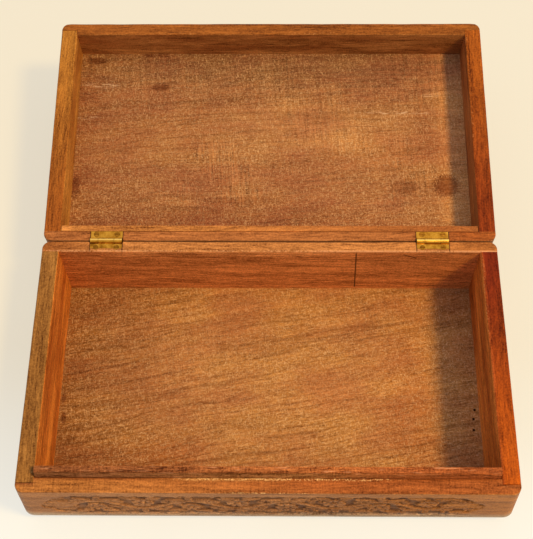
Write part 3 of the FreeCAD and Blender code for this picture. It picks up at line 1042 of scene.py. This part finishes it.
def stained(wood, shade, stains, scuffs, holes):
    """Old stains, pale scuffs broken by the fibres, and brad holes."""
    for x, y, wide, deep, strength in stains:
        stain = wood.times(wood.spot(x, y, wide, deep, wood.grit), strength)
        shade = wood.tint(stain, shade, STAIN_TINT)
    broken = wood.times(wood.step(wood.fibres, -0.1, 0.4), 0.5)
    for scuff in scuffs:
        shade = wood.mix(wood.times(wood.spot(*scuff, wood.grit), broken), shade, SCUFF)
    for x, y in holes:
        shade = wood.mix(wood.spot(x, y, HOLE_RADIUS, HOLE_RADIUS, 0.0), shade, HOLE)
    return shade


def sawn_wood(name, seed, colour, golden, turn, shares, rings, left, right, tones, stains, scuffs, marks=(),
              holes=()):
    """A dry sawn panel, with shares of its dark lines, its dark left side and its right end taken lighter as
    painted light in the right wall's shadow.
    """
    wood = Wood(name, seed, shares, turn)
    saw_marked(wood, marks)
    patch = wood.noise(wood.place, (0.025, 0.05), 3.0)
    shade = wood.colour(wood.mix(wood.step(patch, -0.4, 0.4), colour, golden))
    shade = broad_tones(wood, shade, left, right, tones)
    shade = flecks_and_rings(wood, shade, patch, rings)
    return wood.end(stained(wood, shade, stains, scuffs, holes), rough=0.72)


# Metals and the table

def brass():
    """Pressed sheet brass with a painted highlight along the top of each barrel, and brown with old polish in
    places.
    """
    paint = Paint("hinge_brass")
    cloud = paint.noise(paint.places(), (0.3, 0.3), 3.0, 0.55)
    scratches = paint.noise(paint.places(), (0.3, 6.0), 3.0)
    colour = paint.ramp(paint.scaled(cloud, 0.7, 0.5), HINGE_TONES)
    # A painted highlight along the top of each hinge barrel
    rubbed = paint.step(paint.height, BARREL_Z - 0.12, BARREL_Z - 0.02)
    colour = paint.mix(rubbed, colour, BARREL_HIGHLIGHT)
    normal = paint.bump(paint.math("ADD", cloud, scratches), strength=0.25, distance=0.05)
    return paint.finish(Base_Color=colour, Metallic=1.0, Roughness=paint.scaled(scratches, 0.15, 0.3),
                        Normal=normal)


def dull_metal(name, tones, waves, rough, spread):
    """Old metal in clouds of dull tones."""
    paint = Paint(name)
    cloud = paint.noise(paint.places(), (waves, waves), 4.0, rough)
    colour = paint.ramp(paint.scaled(cloud, spread, 0.5), tones)
    return paint.finish(Base_Color=colour, Metallic=1.0, Roughness=paint.scaled(cloud, 0.15, 0.45))


def table_top():
    """The pale plain floor, which the camera sees a little evened out."""
    paint = Paint("table_top")
    cloud = paint.noise(paint.places(), (0.006, 0.006), 3.0, 0.55)
    far = paint.step(paint.scaled(cloud, 40.0, paint.depth), *TABLE_GLOW_DEPTHS)
    glow = paint.mix(far, TABLE_GLOW_NEAR, TABLE_GLOW_FAR)
    seen = paint.times(paint.seen_plainly(), TABLE_GLOW)
    return paint.finish(Base_Color=paint.mix(seen, TABLE_COLOUR, (0, 0, 0, 1)), Roughness=0.9,
                        Specular_IOR_Level=0.0, Emission_Color=glow, Emission_Strength=seen)


# Stage, light and camera

def room_light():
    """Fill light from all round, stronger from above and behind, and a pale wall that the camera sees."""
    world = bpy.data.worlds.new("room")
    nodes = Nodes(world)
    way = nodes.add("TexCoord").outputs["Generated"]
    lean = [part * FILL_STRENGTH for part in FILL_LEAN]
    level = nodes.vector("DOT_PRODUCT", way, lean, output="Value")
    level = nodes.math("ADD", level, FILL_EVEN * FILL_STRENGTH)
    fill = nodes.add("Background", {"Color": (*FILL_COLOUR, 1.0), "Strength": level}).outputs[0]
    wall = nodes.add("Background", {"Color": TABLE_GLOW_FAR}).outputs[0]
    either = nodes.add("MixShader", {0: nodes.seen_plainly(), 1: fill, 2: wall}).outputs[0]
    nodes.add("OutputWorld", {"Surface": either})
    return world


def build_stage():
    """The floor, the light from the right and the camera of the photograph."""
    scene = bpy.context.scene
    scene.view_settings.view_transform = "Standard"
    mesh = bpy.data.meshes.new("floor")
    sides = ((-1, -1), (1, -1), (1, 1), (-1, 1))
    corners = [(x * TABLE_REACH, y * TABLE_REACH, -TABLE_DROP) for x, y in sides]
    mesh.from_pydata(corners, [], [(0, 1, 2, 3)])
    mesh.materials.append(table_top())
    floor = add_object("floor", mesh)

    scene.world = room_light()
    lamp = bpy.data.lights.new("key", "AREA")
    lamp.energy = LAMP_WATTS
    lamp.size = LAMP_SIZE
    lamp.color = LAMP_COLOUR
    key = add_object("key", lamp)
    way = Vector(LAMP_WAY).normalized()
    key.location = pivot + way * LAMP_FAR
    key.rotation_euler = way.to_track_quat("Z", "Y").to_euler()

    lens = bpy.data.cameras.new("camera")
    lens.sensor_width = SENSOR_WIDTH
    lens.lens = CAMERA_FOCUS_PIXELS * SENSOR_WIDTH / max(PHOTO_WIDTH, PHOTO_HEIGHT)
    camera = add_object("camera", lens)
    camera.location = [part * MM for part in CAMERA_PLACE]
    camera.rotation_euler = [math.radians(part) for part in CAMERA_TURN]
    scene.camera = camera


# The box

def add_board(node, turn, seed, **looks):
    """A board with its wood."""
    board = Board(node, turn, seed)
    make_board(board, board_wood(board, **looks))


def build_boards():
    """The front and side boards of both trays."""
    add_board("base_front_board", 0, 1, rim=(162, 102, 50), far=(145, 78, 36), inner=(170, 92, 44),
              outer=(156, 107, 70), outer_far=(158, 103, 57), shares=RUBBED_ACROSS, worn=True)
    add_board("base_left_board", -90, 2, rim=(138, 92, 43), inner=(191, 109, 46), outer=(146, 98, 60))
    add_board("base_right_board", 90, 3, rim=(157, 72, 14), far=(103, 32, 10), edge=(142, 65, 25),
              inner=(190, 108, 44), outer=(146, 92, 54))
    add_board("lid_front_board", 0, 4, rim=(137, 78, 30), inner=(164, 103, 54), outer=(148, 97, 60))
    add_board("lid_left_board", -90, 5, rim=(160, 103, 39), far=(140, 75, 25), inner=(174, 113, 52),
              outer=(146, 98, 58))
    add_board("lid_right_board", 90, 6, rim=(149, 77, 21), far=(121, 48, 14), inner=(156, 89, 43),
              outer=(144, 90, 52))


def build_top():
    """The lid's top panel."""
    ceiling = sawn_wood("lid_floor_wood", 11, colour=(133, 77, 46), golden=(144, 92, 50), turn=LID_GRAIN,
                        shares=LID_SAWN, rings=0.4, left=0.34, right=0.85, tones=LID_TONES,
                        stains=LID_STAINS, scuffs=LID_SCUFFS, marks=LID_SAW_MARKS)
    make_top(top_wood((150, 96, 60)), ceiling)


def dress(material, *nodes):
    """Gives CAD nodes a finished material."""
    for node in nodes:
        mesh = frame["nodes"][node].data
        mesh.materials.clear()
        mesh.materials.append(material)


def dress_wood():
    """Materials for the wooden nodes whose shape is already right."""
    back = back_wood(inner=(201, 122, 66), rim=(173, 111, 60), rim_ends=(151, 90, 43), outer=(150, 98, 60))
    dress(back, "base_back_board")
    dress(lip_wood(), "base_front_lip")
    lid_back = lid_back_wood(rim=(157, 95, 51), far=(141, 74, 31), outer=(148, 97, 60))
    dress(lid_back, "lid_back_board")
    dress(strip_wood(colour=(179, 115, 59), far=(139, 79, 38)), "lid_back_strip")
    floor = sawn_wood("base_floor_wood", 10, colour=(149, 92, 52), golden=(159, 107, 55), turn=FLOOR_GRAIN,
                      shares=FLOOR_SAWN, rings=0.62, left=1.0, right=0.0, tones=FLOOR_TONES,
                      stains=FLOOR_STAINS, scuffs=FLOOR_SCUFFS, holes=FLOOR_HOLES)
    dress(floor, "base_bottom_panel")


def dress_metal():
    """Materials for the hinges, the screws and the brads."""
    hinge_metal = brass()
    for side in ("left", "right"):
        dress(hinge_metal, *[side + "_hinge_" + part for part in ("base_leaf", "lid_leaf", "pin")])
    screw_metal = dull_metal("screw_brass", SCREW_TONES, waves=0.9, rough=0.65, spread=0.7)
    brad_metal = dull_metal("brad_steel", WIRE_TONES, waves=0.8, rough=0.55, spread=0.5)
    for tray in ("base", "lid"):
        dress(screw_metal, tray + "_hinge_screws")
        dress(brad_metal, tray + "_corner_brads", tray + "_panel_brads")


build_stage()
build_boards()
build_top()
dress_wood()
dress_metal()
